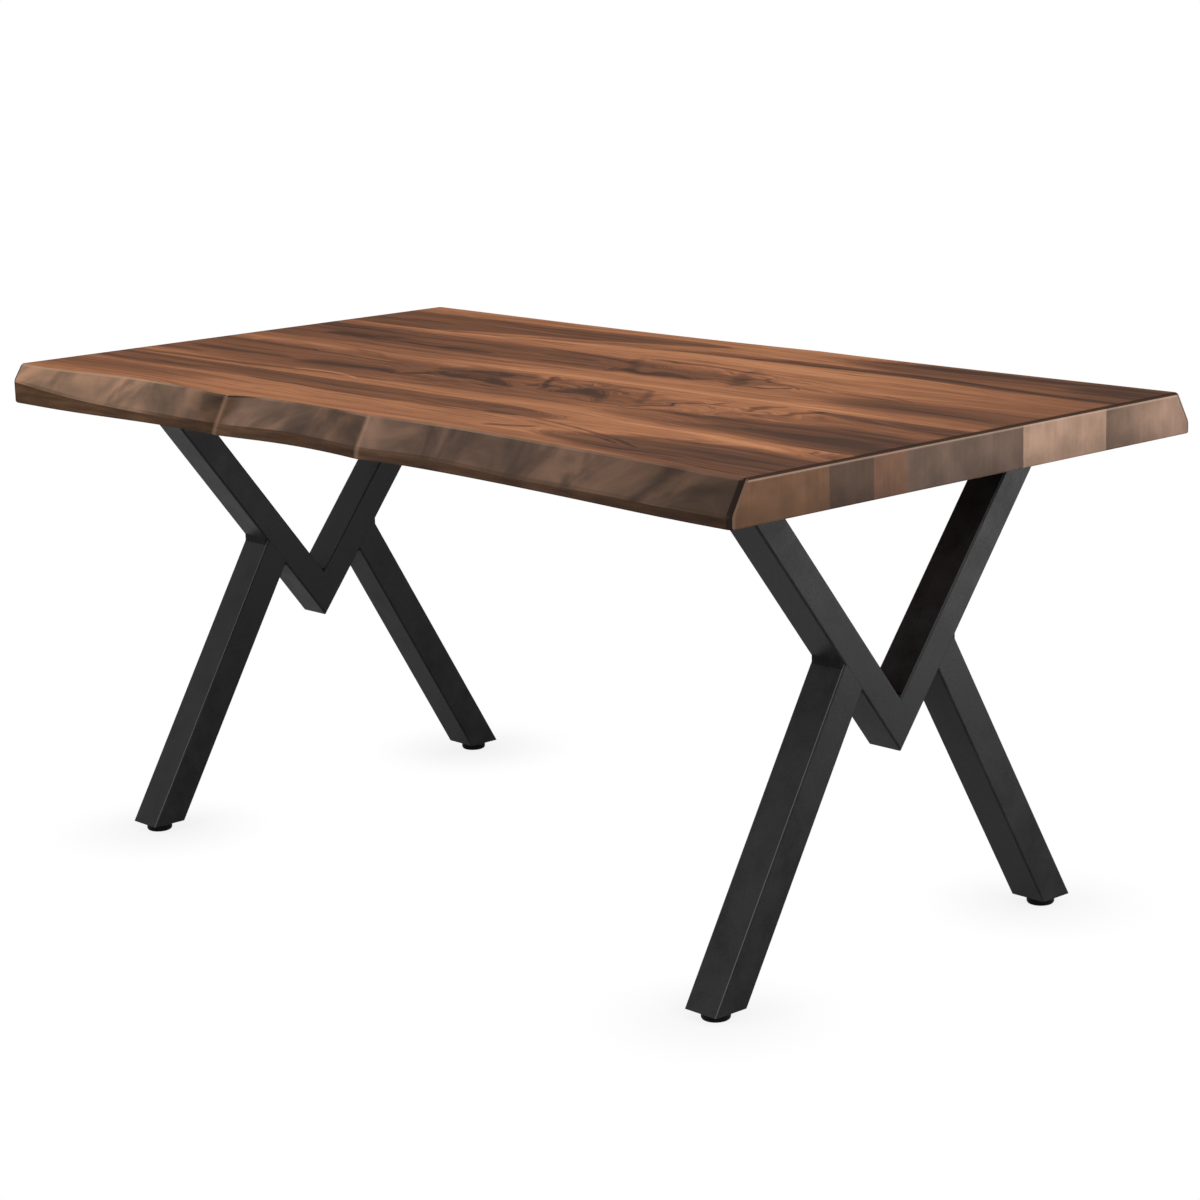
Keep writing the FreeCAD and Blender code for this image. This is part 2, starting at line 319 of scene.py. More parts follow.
# A rate is how often a pattern changes, in a metre along or across the board or in one step of level.
SWAY_RATES = (2.6, 4.0)
SWAY_REACH = 0.09
LINE_RATE = 1.3
LINE_RANGE = (0.30, 0.70)
FIBRE_RATES = (3.0, 2.4)
FIBRE_RANGE = (0.32, 0.68)
BROAD_RANGE = (0.56, 0.74)
THIN_RANGE = (0.60, 0.74)
THIN_STRENGTH = 0.8
PORE_RATE = 420.0
PORE_RANGE = (0.58, 0.72)
CLOUD_RATES = (3.0, 14.0)
wire, take, give = new_group("growth lines", GRAIN_INPUTS, GRAIN_OUTPUTS)
along, across, down = wire.split(take["Position"])
sway = wire.noise(wire.stretch((along, across), SWAY_RATES, down))
steps = wire.over(wire.swing(sway, SWAY_REACH, across), take["Line pitch"])
level = wire.times_plus(take["Figure"], take["Contours"], steps)


def dark_streaks(along_rate, level_rate, level_start, detail):
    """Streaks that follow the level; each start gives streaks of their own."""
    drawn = wire.times_plus(level, level_rate, level_start)
    place = wire.join(wire.times(along, along_rate), drawn, down)
    return wire.noise(place, detail=detail, roughness=0.6)


lines = wire.noise(wire.join(wire.times(along, LINE_RATE), level, down), detail=3.0, roughness=0.62)
wire.put(give["Lines"], wire.ease(lines, *LINE_RANGE))
fibres = wire.noise(wire.stretch((along, level), FIBRE_RATES, down))
wire.put(give["Fibres"], wire.ease(fibres, *FIBRE_RANGE))
broad = dark_streaks(along_rate=2.4, level_rate=0.8, level_start=31.7, detail=2.0)
thin = dark_streaks(along_rate=3.4, level_rate=2.2, level_start=57.3, detail=1.5)
thin = wire.ease(thin, *THIN_RANGE, to_high=THIN_STRENGTH)
wire.put(give["Streaks"], wire.larger(wire.ease(broad, *BROAD_RANGE), thin))
pores = wire.join(wire.over(along, take["Pore length"]), wire.times(across, PORE_RATE), down)
wire.put(give["Pores"], wire.ease(wire.noise(pores, detail=1.0), *PORE_RANGE))
cloud = wire.stretch((along, across), CLOUD_RATES, down)
wire.put(give["Cloud"], wire.noise(cloud, detail=5.0, roughness=0.58, distortion=0.5))
print("group:", "growth lines")

# %% [markdown]
# The carved edges
# The carver's cut runs across the growth rings at a slant, so a carved edge shows leaning grey-brown bands
# where the face of the board shows long lines, and a darker band along its foot, where the face turns
# upright. It could be the board's own figure cut at an angle, but that gives lines and not bands, so the
# bands are a noise that leans.

# %% The bands of the carved edge
BAND_LEAN = -0.8
BAND_START = 0.62
BAND_RATE = 8.5
BAND_HEIGHT_RATE = 9.0
BAND_RANGE = (0.22, 0.80)
THREAD_RATES = (14.0, 120.0)
THREAD_DEPTH = 4.0
THREAD_SHARE = 0.20
EDGE_STOPS = [
    (0.0, (0.172, 0.100, 0.067)),
    (0.5, (0.094, 0.059, 0.043)),
    (1.0, (0.042, 0.030, 0.024)),
]
FOOT_BAND_STOPS = [(0.30, (0.029, 0.016, 0.010)), (0.70, (0.073, 0.039, 0.022))]
FOOT_BAND_FACING = (0.30, 0.12)
FOOT_BAND_SHARE = 0.85
wire, take, give = new_group(
    "carved edge",
    [("Position", "Vector", None), ("Facing up", "Float", 0.0)],
    [("Color", "Color")],
)
along, across, height = wire.split(take["Position"])
lean = wire.times_plus(height, BAND_LEAN, wire.plus(along, BAND_START))
side = wire.calc("SIGN", across)
slant = wire.join(wire.times(lean, BAND_RATE), side, wire.times(height, BAND_HEIGHT_RATE))
bands = wire.noise(slant, detail=3.4, roughness=0.56, distortion=1.1)
threads = wire.noise(wire.stretch((lean, height), THREAD_RATES, THREAD_DEPTH), detail=3.0)
tone = wire.swing(threads, THREAD_SHARE, wire.ease(bands, *BAND_RANGE))
# Darker where the carved face turns upright along its foot.
foot_band = wire.ease(take["Facing up"], *FOOT_BAND_FACING, to_high=FOOT_BAND_SHARE)
wood = wire.blend(foot_band, wire.ramp(tone, EDGE_STOPS), wire.ramp(threads, FOOT_BAND_STOPS))
print("bands:", len(EDGE_STOPS), "tones")

# %% [markdown]
# Ridges of the front edge
# Where two scallops meet, a ridge leans across the edge. The wood is painted paler on one side of it as
# painted light and darker on the other as painted shade, and the crest carries the palest painted
# highlight.
# The front edge also has a painted sheen to the left and painted shade to the right. Lamps alone could show
# this, but soft light hardly shows so shallow a ridge, so a share of it is painted into the colour.

# %% The ridges and the painted light and shade of the front edge
# Each ridge has a place along the table, at half the top's thickness, and a lean.
RIDGES = [(-0.271, 0.47), (0.0485, 0.18)]
RIDGE_PAINTED_LIGHT_SHARE = 0.34
PAINTED_LIGHT_REACH = (0.13, 0.002)
PAINTED_SHADE_REACH = (-0.15, -0.004)
CREST_HIGHLIGHT_REACH = (0.008, 0.001)
CREST_HIGHLIGHT_SHARE = 0.28
CREST_HIGHLIGHT_COLOUR = (0.330, 0.198, 0.130, 1.0)
MIDDLE_PAINTED_SHEEN = (0.06, -0.25, 0.0, 0.36)
LEFT_PAINTED_SHEEN = (-0.25, -0.66, 0.0, 1.05)
RIGHT_PAINTED_SHADE = (0.40, 0.78, 1.0, 0.62)
FOOT_BAND_LESS_SHEEN = -0.95
SHEEN_GREEN = -0.03
SHEEN_BLUE = -0.10
# Painted sheen: paler to the left and in the middle, a little warmer where it is paler, and less on the
# foot band.
painted_sheen = wire.plus(wire.ease(along, *MIDDLE_PAINTED_SHEEN), wire.ease(along, *LEFT_PAINTED_SHEEN))
shade = wire.times_plus(painted_sheen, wire.times_plus(foot_band, FOOT_BAND_LESS_SHEEN, 1.0), 1.0)
painted_crest_highlight = 0.0
for middle, slope in RIDGES:
    ridge = wire.times_plus(wire.minus(height, table_height - top_thickness / 2), slope, middle)
    beyond = wire.minus(along, ridge)
    # Painted light just right of each ridge, painted shade just left of it, and a painted highlight on its
    # crest.
    painted_lit_side = wire.times(wire.ease(beyond, *PAINTED_LIGHT_REACH), wire.calc("GREATER_THAN", beyond, 0.0))
    painted_shaded_side = wire.times(wire.ease(beyond, *PAINTED_SHADE_REACH), wire.calc("LESS_THAN", beyond, 0.0))
    shade = wire.times_plus(painted_lit_side, RIDGE_PAINTED_LIGHT_SHARE, shade)
    shade = wire.times_plus(painted_shaded_side, -RIDGE_PAINTED_LIGHT_SHARE, shade)
    painted_crest_highlight = wire.plus(painted_crest_highlight, wire.ease(wire.unsigned(beyond), *CREST_HIGHLIGHT_REACH))
front = wire.calc("LESS_THAN", across, 0.0)
# Painted shade towards the right end; the back edge keeps none of this painted light and shade.
shade = wire.times(shade, wire.ease(along, *RIGHT_PAINTED_SHADE))
shade = wire.times_plus(wire.minus(shade, 1.0), front, 1.0)
green = wire.times(shade, wire.times_plus(painted_sheen, SHEEN_GREEN, 1.0))
blue = wire.times(shade, wire.times_plus(painted_sheen, SHEEN_BLUE, 1.0))
painted_light_tint = wire.join(shade, green, blue)
shaded = wire.node("ShaderNodeVectorMath", {0: wood, 1: painted_light_tint}, operation="MULTIPLY")
painted_crest_highlight = wire.times(wire.times(painted_crest_highlight, front), CREST_HIGHLIGHT_SHARE)
wire.put(give["Color"], wire.blend(painted_crest_highlight, shaded.outputs["Vector"], CREST_HIGHLIGHT_COLOUR))
print("group:", "carved edge,", len(RIDGES), "ridges")

# %% [markdown]
# The sawn ends
# The sawn ends show upright blocks of end grain, one for each run of heartwood or sapwood. A ramp with hard
# steps across the width gives the blocks. Real end grain would show arched rings, which could be drawn as
# circles, but on this table the blocks are what the eye sees. The left end has the same blocks, turned
# round.

# %% The sawn end group
END_BLOCKS = [
    (-0.450, (0.170, 0.090, 0.052)),
    (-0.278, (0.100, 0.063, 0.045)),
    (-0.200, (0.184, 0.097, 0.062)),
    (-0.135, (0.154, 0.101, 0.075)),
    (0.088, (0.405, 0.258, 0.182)),
    (0.261, (0.172, 0.111, 0.079)),
]
BLOCK_WOBBLE = 0.006
WOBBLE_RATE = 30.0
END_CLOUD_RATES = (26.0, 24.0)
END_CLOUD_RANGE = (0.25, 0.75)
END_CLOUD_SHARE = 0.8
END_FIBRE_RATES = (170.0, 9.0)
END_FIBRE_SHARE = 0.60
END_SHADE_STOPS = [(0.0, (1.0, 1.0, 1.0)), (1.0, (0.66, 0.66, 0.66))]
PALE_CORNER = (0.375, 0.236, 0.170, 1.0)
PALE_CORNER_RANGE = (0.27, 0.40)
UNDERSIDE_PAINTED_SHADE = 0.74
UNDERSIDE_FADE = 0.022
END_HIGHLIGHT_COLOUR = (0.480, 0.330, 0.250, 1.0)
END_HIGHLIGHT_DEPTHS = (0.0060, 0.0042)
END_HIGHLIGHT_SHARE = 0.40
wire, take, give = new_group("sawn end", [("Position", "Vector", None)], [("Color", "Color")])
along, across, height = wire.split(take["Position"])
wobble = wire.noise(wire.join(z=wire.times(height, WOBBLE_RATE)))
on_end = wire.swing(wobble, BLOCK_WOBBLE, wire.times(across, wire.calc("SIGN", along)))
share = wire.plus(wire.over(on_end, table_width), 0.5)
blocks = wire.ramp(share, [(0.5 + y / table_width, colour) for y, colour in END_BLOCKS], "CONSTANT")
cloud = wire.noise(wire.stretch((on_end, height), END_CLOUD_RATES, along), detail=4.0)
cloud = wire.ease(cloud, *END_CLOUD_RANGE, to_high=END_CLOUD_SHARE)
fibres = wire.noise(wire.stretch((on_end, height), END_FIBRE_RATES, along))
shade = wire.ramp(wire.times_plus(fibres, END_FIBRE_SHARE, cloud), END_SHADE_STOPS)
blocks = wire.blend(1.0, blocks, shade, "MULTIPLY")
in_last = wire.calc("GREATER_THAN", on_end, END_BLOCKS[-1][0])
pale = wire.times(in_last, wire.ease(on_end, *PALE_CORNER_RANGE))
blocks = wire.blend(pale, blocks, wire.blend(1.0, PALE_CORNER, shade, "MULTIPLY"))
underside = table_height - top_thickness
# Painted shade: the end grows darker towards the underside.
end_painted_underside_shade = wire.ease(height, underside, table_height - UNDERSIDE_FADE, UNDERSIDE_PAINTED_SHADE, 1.0)
blocks = wire.blend(1.0, blocks, wire.join(end_painted_underside_shade, end_painted_underside_shade, end_painted_underside_shade), "MULTIPLY")
# Painted highlight: a pale line just under the top arris of the end.
highlight_low, highlight_high = [table_height - depth for depth in END_HIGHLIGHT_DEPTHS]
end_painted_highlight = wire.ease(height, highlight_low, highlight_high, to_high=END_HIGHLIGHT_SHARE)
wire.put(give["Color"], wire.blend(end_painted_highlight, blocks, END_HIGHLIGHT_COLOUR))
print("group:", "sawn end", len(END_BLOCKS), "blocks")

# %% [markdown]
# Fine mottle
# Powder coat, moulded plastic and zinc plating all have a fine uneven skin. Each could have a noise of its
# own, but one group gives it at any scale: a value for the tone and a height for the bump.

# %% The mottle group
FINE_SHARE = 0.5
wire, take, give = new_group(
    "fine mottle",
    [("Position", "Vector", None), ("Grain size", "Float", 0.001), ("Patch size", "Float", 0.03)],
    [("Tone", "Float"), ("Height", "Float")],
)
fine = wire.noise(take["Position"], wire.over(1.0, take["Grain size"]), detail=2.0, roughness=0.6)
patch = wire.noise(take["Position"], wire.over(1.0, take["Patch size"]), detail=3.0, roughness=0.6)
wire.put(give["Tone"], wire.swing(fine, FINE_SHARE, patch))
wire.put(give["Height"], fine)
print("group:", "fine mottle")

# %% [markdown]
# Walnut boards
# Each board has its own figure: the tongues below are placed one by one, in millimetres from the left end
# and from the back edge of the top, as a sawyer would chalk them on the slab. A row below zero is a pale
# band of sapwood. A burr is a patch where the figure swirls. One long noise could stand for all of it, but
# then no two boards would meet in a seam that shows.

# %% Where the tongues and burrs lie
# Start, end, across at start, across at end, bow, half width at start, half width at end, softness, and
# for a tongue its strength.
BOARD_FIGURE = {
    "top_board_4": [
        (-700, 792, 228, 62, 0, 146, 22, 0.12, 0.34),
        (-500, 520, 232, 186, 0, 8, 6, 0.7, 0.25),
        (60, 780, 246, 118, 6, 8, 13, 0.6, -0.26),
        (400, 1750, 182, 150, -50, 8, 12, 0.6, 0.36),
        (520, 1500, 152, 128, -36, 5, 7, 0.7, 0.24),
        (840, 1420, 132, 138, -16, 5, 6, 0.7, 0.21),
        (1040, 1760, 56, 64, 0, 30, 100, 0.5, 0.26),
        (1150, 1460, 38, 34, 0, 14, 10, 0.8, 0.32),
        (1000, 1330, 48, 22, 0, 4, 4, 0.7, 0.18),
        (1470, 1800, 44, 56, 0, 44, 60, 0.9, 0.34),
        (90, 200, 132, 138, 0, 7, 6, 0.9, 0.16),
        (20, 120, 150, 148, 0, 8, 6, 0.9, 0.21),
        (330, 560, 92, 96, 0, 6, 5, 0.9, 0.12),
        (560, 1480, 172, 178, -10, 16, 22, 0.9, -0.16),
        (1080, 1900, 36, 60, 0, 40, 84, 0.8, 0.14),
        (1180, 1900, 176, 184, 0, 26, 62, 0.8, 0.20),
    ],
    "top_board_3": [
        (-600, 1090, 312, 286, 6, 68, 50, 0.25, 0.34),
        (100, 270, 318, 315, 0, 16, 18, 0.8, 0.26),
        (-100, 520, 330, 330, 0, 5, 7, 0.7, 0.13),
        (400, 520, 325, 326, 0, 10, 8, 0.8, 0.25),
        (600, 720, 285, 282, 0, 7, 6, 0.8, 0.21),
        (640, 740, 328, 326, 0, 6, 5, 0.8, 0.18),
        (800, 985, 332, 334, -10, 16, 14, 0.6, 0.36),
        (-400, 560, 248, 240, 0, 5, 4, 0.7, 0.22),
        (540, 820, 236, 276, -6, 4, 4, 0.7, 0.25),
        (780, 1040, 222, 232, -6, 4, 6, 0.7, 0.3),
        (985, 1062, 222, 322, 0, 24, 22, 0.95, 0.22),
        (755, 835, 232, 318, 0, 14, 12, 0.95, 0.20),
        (1020, 1160, 288, 300, -14, 4, 3.5, 0.7, 0.3),
        (1020, 1150, 320, 306, 8, 4, 3.5, 0.7, 0.25),
        (1225, 1345, 284, 300, 0, 3, 2.5, 0.7, 0.34),
        (1300, 1370, 270, 292, 0, 2.5, 2.5, 0.8, 0.24),
        (-300, 780, 374, 368, 4, 9, 7, 0.6, 0.23),
        (1240, 2100, 332, 338, 0, 30, 62, 0.9, 0.25),
        (1380, 1560, 344, 354, 0, 3, 3, 0.8, 0.2),
        (560, 1460, 410, 411, 0, 8, 3, 0.8, -0.22),
        (-300, 640, 398, 402, 0, 26, 14, 0.8, 0.15),
        (1290, 1800, 334, 330, 0, 50, 110, 0.8, 0.23),
        (1260, 1900, 236, 232, 0, 14, 44, 0.8, 0.14),
    ],
    "top_board_2": [
        (-600, 1120, 536, 520, 0, 84, 74, 0.3, 0.28),
        (-400, 480, 455, 486, -8, 5, 5, 0.6, 0.28),
        (250, 470, 470, 480, 0, 5, 4, 0.7, -0.24),
        (40, 300, 548, 550, 0, 11, 8, 0.8, 0.26),
        (340, 560, 556, 548, -4, 18, 14, 0.8, 0.36),
        (-100, 120, 600, 585, 0, 16, 8, 0.9, 0.22),
        (-300, 560, 662, 612, 0, 9, 5, 0.7, 0.34),
        (400, 560, 615, 626, -14, 4, 4, 0.7, -0.3),
        (600, 752, 488, 478, -12, 20, 16, 0.7, 0.38),
        (570, 808, 548, 538, -36, 9, 11, 0.7, 0.42),
        (640, 810, 582, 560, -18, 5, 5, 0.7, 0.28),
        (690, 780, 452, 462, 0, 7, 6, 0.8, 0.24),
        (790, 862, 432, 528, 0, 10, 8, 0.8, 0.34),
        (800, 856, 522, 440, 0, 7, 7, 0.8, 0.25),
        (850, 1012, 437, 441, 0, 7, 7, 0.7, 0.26),
        (870, 1012, 520, 546, -28, 12, 16, 0.7, 0.40),
        (900, 1000, 482, 488, -6, 8, 7, 0.7, 0.3),
        (1005, 1065, 445, 520, 0, 12, 10, 0.9, 0.23),
        (1072, 1172, 558, 455, 0, 8, 7, 0.7, 0.43),
        (1225, 1262, 475, 425, 0, 8, 8, 0.8, 0.34),
        (1280, 1342, 482, 415, 0, 10, 10, 0.8, 0.38),
        (1310, 1720, 432, 455, 0, 10, 40, 0.35, 0.36),
        (1072, 1760, 574, 556, -32, 4, 34, 0.45, 0.30),
        (1150, 1760, 548, 566, -24, 20, 150, 0.5, 0.27),
        (1220, 1760, 604, 640, -8, 10, 62, 0.5, 0.26),
        (1080, 1420, 546, 500, 0, 8, 20, 0.8, -0.14),
        (540, 1060, 612, 596, -10, 4, 4, 0.7, 0.17),
        (1090, 1900, 596, 588, 0, 26, 60, 0.8, 0.20),
    ],
    "top_board_1": [
        (-700, 1080, 684, 682, 0, 37, 35, 0.12, 0.32),
        (430, 930, 717, 720, 0, 4, 4, 0.6, 0.28),
        (480, 930, 684, 676, 0, 4, 5, 0.7, 0.2),
        (-200, 420, 664, 668, 0, 7, 6, 0.8, 0.18),
        (-300, 300, 702, 704, 0, 6, 5, 0.8, 0.18),
        (950, 1015, 703, 700, 0, 6, 5, 0.8, 0.28),
        (-300, 350, 772, 766, 0, 40, 26, 0.9, 0.26),
        (1040, 1335, 700, 774, -10, 3.5, 3.5, 0.6, 0.25),
        (1060, 1300, 722, 772, -8, 3, 3, 0.7, 0.16),
        (1140, 1760, 768, 754, 0, 24, 120, 0.35, 0.38),
        (1035, 1108, 777, 746, 0, 7, 7, 0.7, 0.37),
        (1250, 1800, 712, 736, -10, 4, 8, 0.7, 0.2),
        (1020, 1640, 640, 708, -16, 7, 12, 0.7, -0.25),
        (300, 1000, 800, 806, 0, 4, 4, 0.8, 0.12),
        (1230, 1900, 786, 790, 0, 40, 100, 0.8, 0.16),
    ],
}
BOARD_BURRS = {
    "top_board_3": (730, 1190, 284, 288, 0, 62, 50, 0.6),
    "top_board_2": (520, 1370, 506, 480, 0, 76, 60, 0.6),
}
CARVED_SLOPE = 0.025
FIGURE_ORIGIN = Vector((-table_length / 2, table_width / 2 - CARVED_SLOPE, 0.0))
print("tongues:", {name: len(rows) for name, rows in BOARD_FIGURE.items()})

# %% [markdown]
# The figure of a board
# A tongue with a crisp edge bends the growth lines round it, and a soft one only stains the wood. The place
# where the figure is read is first pushed about a little, so that no line runs straight, and more inside a
# burr. Then everything that darkens the wood is added up into one tone, which a colour ramp turns into
# walnut.

# %% Tone of the wood
MM = 0.001
SOFTEST_TONGUE = 0.75
PLAIN_WOOD = 0.215
PLAIN_CONTOURS = 12.0
BURR_CONTOURS = 2.0
CLOUD_SHARE = 0.42
PLAIN_LINE_SHARE = 0.07
FIGURE_LINE_SHARE = 0.26
FIBRE_SHARE = 0.13
FIGURE_STREAK_SHARE = 0.46
BURR_STREAK_SHARE = 0.22
PORE_SHARE = 0.13
WANDER_RATES = (3.2, 8.0)
WANDER_REACH = 0.034
RIPPLE_RATES = (10.0, 30.0)
RIPPLE_REACH = 0.007
SWIRL_RATES = (13.0, 26.0)
SWIRL_ACROSS = 0.06
SWIRL_ALONG = -0.08


def streak(wire, place, row):
    """One tongue or burr, placed by its row of millimetres."""
    start, end, at_start, at_end, bow, wide_start, wide_end, softness = row
    return place_group(wire, "heartwood streak", {
        "Position": place,
        "Start": FIGURE_ORIGIN.x + start * MM,
        "End": FIGURE_ORIGIN.x + end * MM,
        "Across at start": FIGURE_ORIGIN.y - at_start * MM,
        "Across at end": FIGURE_ORIGIN.y - at_end * MM,
        "Bow": -bow * MM,
        "Width at start": wide_start * MM,
        "Width at end": wide_end * MM,
        "Softness": softness,
    })["Mask"]


def bent_place(wire, place, seed, inside):
    """The place on the board, pushed a little so that no line runs straight, and more inside a burr."""
    along, across, _ = wire.split(place)
    wander = wire.noise(wire.stretch((along, across), WANDER_RATES, seed), detail=3.0)
    ripple = wire.noise(wire.stretch((along, across), RIPPLE_RATES, seed))
    swirl = wire.noise(wire.stretch((along, across), SWIRL_RATES, seed), detail=1.0)
    push = wire.times(wire.minus(swirl, NOISE_MIDDLE), inside)
    shifted = wire.swing(ripple, RIPPLE_REACH, wire.swing(wander, WANDER_REACH, across))
    shifted = wire.times_plus(push, SWIRL_ACROSS, shifted)
    return wire.join(wire.times_plus(push, SWIRL_ALONG, along), shifted, seed)


def wood_tone(wire, bent, inside, tongues):
    """How dark the wood is; returns the tone and the masks of the grain."""
    figure = PLAIN_WOOD
    stain = 0.0
    for *row, strength in tongues:
        mask = streak(wire, bent, row)
        if row[-1] < SOFTEST_TONGUE:
            figure = wire.times_plus(mask, strength, figure)
        else:
            stain = wire.times_plus(mask, strength, stain)
    contours = wire.times_plus(inside, BURR_CONTOURS, PLAIN_CONTOURS)
    grain = place_group(wire, "growth lines", {"Position": bent, "Figure": figure, "Contours": contours})
    tone = wire.swing(grain["Cloud"], CLOUD_SHARE, wire.plus(figure, stain))
    tone = wire.swing(grain["Lines"], wire.times_plus(figure, FIGURE_LINE_SHARE, PLAIN_LINE_SHARE), tone)
    tone = wire.swing(grain["Fibres"], FIBRE_SHARE, tone)
    darkening = wire.times_plus(figure, FIGURE_STREAK_SHARE, wire.times(inside, BURR_STREAK_SHARE))
    tone = wire.times_plus(grain["Streaks"], darkening, tone)
    return wire.times_plus(grain["Pores"], PORE_SHARE, tone), grain


print("tone of the wood ready")

# %% [markdown]
# Edges, ends and arrises of a board
# The way a face looks tells how it was cut: faces that look along the table are sawn ends, faces that look
# across it are carved. Where two of them meet, a line is painted in: a painted highlight along the front
# arris, painted shade along the ends and round the corners, with a painted highlight beside the corners.
# The pieces could be given materials face by face, but the direction of the face does it for every board
# and blends over the rounded arrises.

# %% Faces and arrises
EDGE_FACING = (0.30, 0.55)
END_FACING = (0.45, 0.75)
ARRIS_HIGHLIGHT = (0.400, 0.240, 0.155, 1.0)
ARRIS_HIGHLIGHT_LOW = (0.80, 0.86)
ARRIS_HIGHLIGHT_HIGH = (0.985, 0.95)
ARRIS_HIGHLIGHT_SIDE = (0.12, 0.22, 0.0, 0.55)
ARRIS_HIGHLIGHT_FADE = (0.10, 0.60, 1.0, 0.15)
ARRIS_SHADE = (0.030, 0.018, 0.013, 1.0)
ARRIS_SHADE_FACING = (0.05, 0.20, 0.0, 0.95)
END_RIM_SHADE_REACH = (0.009, 0.003, 0.0, 0.75)
END_RIM_SHADE_FACING = (0.7, 0.9)
CORNER_SHADE_FACING = (0.06, 0.18, 0.0, 0.95)
CORNER_SHADE_REACH = (0.030, 0.016)
CORNER_SHADE_AND_HIGHLIGHT_STOPS = [(0.78, (0.016, 0.010, 0.008)), (0.90, (0.140, 0.084, 0.058))]


def show_cut_faces(wire, colour, place, facing):
    """Carved edges and sawn ends over the board's own colour; returns the colour and where they are."""
    face_x, face_y, face_z = facing
    edges = wire.ease(wire.unsigned(face_y), *EDGE_FACING)
    ends = wire.ease(wire.unsigned(face_x), *END_FACING)
    carved = place_group(wire, "carved edge", {"Position": place, "Facing up": face_z})
    sawn = place_group(wire, "sawn end", {"Position": place})
    colour = wire.blend(edges, colour, carved["Color"])
    return wire.blend(ends, colour, sawn["Color"]), wire.larger(edges, ends)


def paint_arris_highlight_and_shade(wire, colour, along, facing):
    """Painted highlight along the front arris, and painted shade along the arris of the ends and round the
    rounded corners, with a painted highlight beside them.
    """
    face_x, face_y, face_z = facing
    # Painted highlight along the front arris.
    pale = wire.times(wire.ease(face_z, *ARRIS_HIGHLIGHT_LOW), wire.ease(face_z, *ARRIS_HIGHLIGHT_HIGH))
    pale = wire.times(pale, wire.ease(wire.unsigned(face_y), *ARRIS_HIGHLIGHT_SIDE))
    pale = wire.times(pale, wire.ease(along, *ARRIS_HIGHLIGHT_FADE))
    colour = wire.blend(pale, colour, ARRIS_HIGHLIGHT)
    # Painted shade along the arris of the ends and on the last millimetres of the top next to them.
    from_end = wire.minus(table_length / 2, wire.unsigned(along))
    arris_shade = wire.ease(wire.times(wire.unsigned(face_x), face_z), *ARRIS_SHADE_FACING)
    end_rim_shade = wire.times(wire.ease(from_end, *END_RIM_SHADE_REACH), wire.ease(face_z, *END_RIM_SHADE_FACING))
    colour = wire.blend(wire.larger(arris_shade, end_rim_shade), colour, ARRIS_SHADE)
    # Painted shade round the rounded corners, turning to a painted highlight on the side next to the end.
    corner = wire.ease(wire.unsigned(wire.times(face_x, face_y)), *CORNER_SHADE_FACING)
    corner = wire.times(corner, wire.ease(from_end, *CORNER_SHADE_REACH))
    return wire.blend(corner, colour, wire.ramp(wire.unsigned(face_x), CORNER_SHADE_AND_HIGHLIGHT_STOPS))


print("faces and arrises ready")

# %% [markdown]
# The walnut finish
# The top is oiled, so it has no varnish shine: its highlights are off, and only the edges and ends keep a
# trace of a coat. Growth lines and pores give a shallow bump and a slightly uneven roughness. The finish
# could be one material for all boards, but then their figure would run on across the glue lines.

# %% Dress the boards
WALNUT_STOPS = [
    (0.00, (0.490, 0.224, 0.114)),
    (0.20, (0.372, 0.163, 0.084)),
    (0.36, (0.258, 0.114, 0.063)),
    (0.52, (0.188, 0.086, 0.051)),
    (0.70, (0.136, 0.067, 0.043)),
    (0.95, (0.077, 0.045, 0.034)),
]
OILED_ROUGHNESS = 0.42
LINE_ROUGHNESS = 0.10
EDGE_COAT = 0.05
EDGE_COAT_ROUGHNESS = 0.30
GRAIN_BUMP_STRENGTH = 0.12
GRAIN_BUMP_DEPTH = 0.0004
SEED_STEP = 3.7


def walnut(name, tongues, seed, burr):
    """The finish of one board, with its own tongues and, on some boards, a burr."""
    material, wire, shader = new_material(name)
    place = wire.node("ShaderNodeTexCoord").outputs["Object"]
    inside = streak(wire, place, burr) if burr else 0.0
    tone, grain = wood_tone(wire, bent_place(wire, place, seed, inside), inside, tongues)
    facing = wire.split(wire.node("ShaderNodeNewGeometry").outputs["Normal"])
    colour, cut = show_cut_faces(wire, wire.ramp(tone, WALNUT_STOPS), place, facing)
    colour = paint_arris_highlight_and_shade(wire, colour, wire.split(place)[0], facing)
    wire.put(shader.inputs["Base Color"], colour)
    wire.put(shader.inputs["Roughness"], wire.times_plus(grain["Lines"], LINE_ROUGHNESS, OILED_ROUGHNESS))
    wire.put(shader.inputs["Coat Weight"], wire.times(cut, EDGE_COAT))
    shader.inputs["Specular IOR Level"].default_value = 0.0
    shader.inputs["Coat Roughness"].default_value = EDGE_COAT_ROUGHNESS
    bump = wire.node("ShaderNodeBump", {"Height": wire.minus(grain["Lines"], grain["Pores"])})
    bump.inputs["Strength"].default_value = GRAIN_BUMP_STRENGTH
    bump.inputs["Distance"].default_value = GRAIN_BUMP_DEPTH
    wire.put(shader.inputs["Normal"], bump.outputs["Normal"])
    return material


def dress(name, material):
    """Give one node of the frame its finish."""
    mesh = nodes[name].data
    mesh.materials.clear()
    mesh.materials.append(material)


for number, (name, tongues) in enumerate(BOARD_FIGURE.items(), start=1):
    dress(name, walnut(name + "_walnut", tongues, SEED_STEP * number, BOARD_BURRS.get(name)))
print("walnut boards:", len(BOARD_FIGURE))

